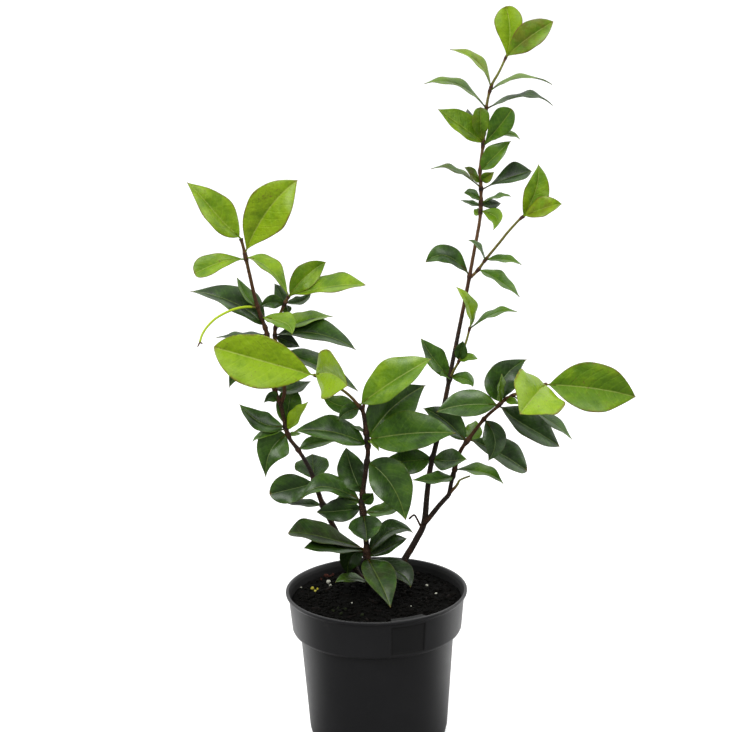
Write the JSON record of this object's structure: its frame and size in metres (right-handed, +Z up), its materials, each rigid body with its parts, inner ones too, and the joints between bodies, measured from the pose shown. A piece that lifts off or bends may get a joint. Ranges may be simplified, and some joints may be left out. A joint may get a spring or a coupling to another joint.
{
  "type": "potted star jasmine",
  "caption": "Young star jasmine with slender branching stems and glossy pointed leaves, standing in soil in a moulded plastic nursery pot.",
  "frame": {"origin": "middle of the pot's flat underside, on the surface that the pot stands on", "axes": "+Z up along the pot and the stems; the front that the picture shows faces -Y, +X to its right"},
  "size_m": [0.3119, 0.145, 0.5265],
  "materials": {
    "pot_plastic": "dark grey moulded plastic, satin",
    "soil": "damp dark potting soil with crumbs and bits of bark",
    "mature_leaf": "glossy dark green leaves on brown woody stems",
    "young_leaf": "soft light green new leaves, satin",
    "pale_shoot": "smooth pale yellow-green twining shoot"
  },
  "bodies": {
    "root": {"pot": "pot_plastic", "soil": "soil", "left_stem": "mature_leaf", "left_branch": "mature_leaf", "left_tip": "young_leaf", "left_branch_tip": "young_leaf", "pale_shoot": "pale_shoot", "middle_stem": "mature_leaf", "middle_tip": "young_leaf", "tall_stem": "mature_leaf", "tall_tip": "young_leaf", "side_shoot": "mature_leaf", "side_tip": "young_leaf", "small_shoot": "mature_leaf", "right_branch": "mature_leaf", "right_tip": "young_leaf"}
  },
  "joints": []
}
